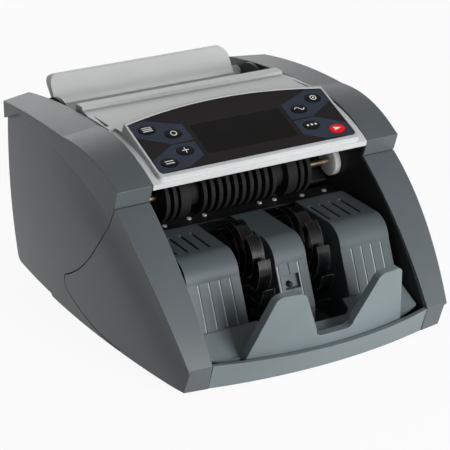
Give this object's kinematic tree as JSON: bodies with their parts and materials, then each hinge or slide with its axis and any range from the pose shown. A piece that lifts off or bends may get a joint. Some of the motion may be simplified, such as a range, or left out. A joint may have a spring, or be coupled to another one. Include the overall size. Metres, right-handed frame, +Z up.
{
  "type": "banknote counting machine",
  "caption": "Desktop note counter: rear hopper, tilted key panel with a display, ringed roller, bladed stacker wheels and a finned pocket between two curved cheeks.",
  "frame": {"origin": "on the table under the middle of the machine's outline", "axes": "+X to the machine's right seen from the front, +Y from the front to the back, +Z up"},
  "size_m": [0.2706, 0.335, 0.1769],
  "materials": {
    "shell_grey": "fine satin texture",
    "base_grey": "satin",
    "block_grey": "satin",
    "cover_grey": "satin",
    "console_grey": "satin",
    "overlay_black": "semi-gloss film",
    "window_dark": "tinted clear",
    "key_black": "smooth",
    "key_red": "smooth",
    "guide_black": "satin",
    "frame_metal": "matt",
    "back_metal": "matt",
    "shaft_steel": "brushed",
    "roller_rubber": "matt",
    "wheel_black": "glossy",
    "bush_white": "smooth",
    "bush_dark": "machined",
    "pulley_aluminium": "machined",
    "belt_rubber": "matt",
    "motor_metal": "satin",
    "board_green": "solder mask",
    "sensor_dark": "glossy",
    "inlet_black": "satin",
    "foot_rubber": "matt",
    "screw_steel": "plated"
  },
  "bodies": {
    "machine": {"base_screws": "screw_steel", "base_tray": "base_grey", "centre_stacker_block": "block_grey", "console_housing": "console_grey", "console_overlay": "overlay_black", "count_end_bush": "bush_white", "cross_bars": "shaft_steel", "display_board": "board_green", "display_window": "window_dark", "drive_belt": "belt_rubber", "guide_plate": "frame_metal", "guide_sensors": "sensor_dark", "hopper_floor": "cover_grey", "hopper_plate": "cover_grey", "left_frame": "frame_metal", "left_front_shell": "shell_grey", "left_rear_shell": "shell_grey", "left_stacker_block": "block_grey", "main_board": "board_green", "main_motor": "motor_metal", "pocket_floor": "base_grey", "pocket_sensor": "sensor_dark", "power_board": "board_green", "power_inlet": "inlet_black", "rear_panel": "back_metal", "right_frame": "frame_metal", "right_front_shell": "shell_grey", "right_rear_shell": "shell_grey", "right_stacker_block": "block_grey", "rubber_feet": "foot_rubber", "separator_shaft": "shaft_steel", "separator_tyres": "roller_rubber", "shaft_bushes": "bush_dark", "stacker_belt": "belt_rubber", "stacker_motor": "motor_metal", "stacker_plate": "base_grey", "top_cover": "cover_grey"},
    "count_roller_set": {"count_shaft": "shaft_steel", "count_roller": "roller_rubber", "count_pulley": "pulley_aluminium"},
    "pickup_roller_set": {"pickup_shaft": "shaft_steel", "pickup_tyres": "roller_rubber", "pickup_pulley": "pulley_aluminium"},
    "stacker_wheel_set": {"stacker_shaft": "shaft_steel", "left_stacker_wheel": "wheel_black", "right_stacker_wheel": "wheel_black", "stacker_pulley": "pulley_aluminium"},
    "main_motor_rotor": {"main_motor_pulley": "pulley_aluminium"},
    "stacker_motor_rotor": {"stacker_motor_pulley": "pulley_aluminium"},
    "rocker": {"power_rocker": "inlet_black"},
    "left_guide": {"left_note_guide": "guide_black"},
    "right_guide": {"right_note_guide": "guide_black"},
    "left_key_1_cap": {"left_key_1": "key_black"},
    "left_key_2_cap": {"left_key_2": "key_black"},
    "left_key_3_cap": {"left_key_3": "key_black"},
    "left_key_4_cap": {"left_key_4": "key_black"},
    "right_key_1_cap": {"right_key_1": "key_black"},
    "right_key_2_cap": {"right_key_2": "key_black"},
    "right_key_3_cap": {"right_key_3": "key_black"},
    "right_key_4_cap": {"right_key_4": "key_red"}
  },
  "joints": [
    {"name": "count_roller_spin", "type": "hinge", "parent": "machine", "child": "count_roller_set", "pos_m": [0, -0.0026, 0.1092], "axis": [1, 0, 0], "continuous": true},
    {"name": "pickup_roller_spin", "type": "hinge", "parent": "machine", "child": "pickup_roller_set", "pos_m": [0, 0.092, 0.1136], "axis": [1, 0, 0], "continuous": true},
    {"name": "main_motor_spin", "type": "hinge", "parent": "machine", "child": "main_motor_rotor", "pos_m": [0, 0.11, 0.046], "axis": [1, 0, 0], "continuous": true},
    {"name": "stacker_wheel_spin", "type": "hinge", "parent": "machine", "child": "stacker_wheel_set", "pos_m": [0, -0.06, 0.054], "axis": [1, 0, 0], "continuous": true},
    {"name": "stacker_motor_spin", "type": "hinge", "parent": "machine", "child": "stacker_motor_rotor", "pos_m": [0, 0.006, 0.04], "axis": [1, 0, 0], "continuous": true},
    {"name": "power_rocker_tilt", "type": "hinge", "parent": "machine", "child": "rocker", "pos_m": [-0.022, 0.152, 0.032], "axis": [1, 0, 0], "range_deg": [0, 16]},
    {"name": "left_guide_slide", "type": "slide", "parent": "machine", "child": "left_guide", "axis": [1, 0, 0], "range_m": [0, 0.024]},
    {"name": "right_guide_slide", "type": "slide", "parent": "machine", "child": "right_guide", "axis": [-1, 0, 0], "range_m": [0, 0.024]},
    {"name": "left_key_1_press", "type": "slide", "parent": "machine", "child": "left_key_1_cap", "axis": [0, 0.3981, -0.9173], "range_m": [0, 0.0005], "stiffness_N_per_m": 800},
    {"name": "left_key_2_press", "type": "slide", "parent": "machine", "child": "left_key_2_cap", "axis": [0, 0.3981, -0.9173], "range_m": [0, 0.0005], "stiffness_N_per_m": 800},
    {"name": "left_key_3_press", "type": "slide", "parent": "machine", "child": "left_key_3_cap", "axis": [0, 0.3981, -0.9173], "range_m": [0, 0.0005], "stiffness_N_per_m": 800},
    {"name": "left_key_4_press", "type": "slide", "parent": "machine", "child": "left_key_4_cap", "axis": [0, 0.3981, -0.9173], "range_m": [0, 0.0005], "stiffness_N_per_m": 800},
    {"name": "right_key_1_press", "type": "slide", "parent": "machine", "child": "right_key_1_cap", "axis": [0, 0.3981, -0.9173], "range_m": [0, 0.0005], "stiffness_N_per_m": 800},
    {"name": "right_key_2_press", "type": "slide", "parent": "machine", "child": "right_key_2_cap", "axis": [0, 0.3981, -0.9173], "range_m": [0, 0.0005], "stiffness_N_per_m": 800},
    {"name": "right_key_3_press", "type": "slide", "parent": "machine", "child": "right_key_3_cap", "axis": [0, 0.3981, -0.9173], "range_m": [0, 0.0005], "stiffness_N_per_m": 800},
    {"name": "right_key_4_press", "type": "slide", "parent": "machine", "child": "right_key_4_cap", "axis": [0, 0.3981, -0.9173], "range_m": [0, 0.0005], "stiffness_N_per_m": 800}
  ],
  "couplings": [
    {"joint": "pickup_roller_spin", "follows": "count_roller_spin", "ratio": 0.83333},
    {"joint": "main_motor_spin", "follows": "count_roller_spin", "ratio": 1.1111},
    {"joint": "stacker_motor_spin", "follows": "stacker_wheel_spin", "ratio": 1.5}
  ]
}
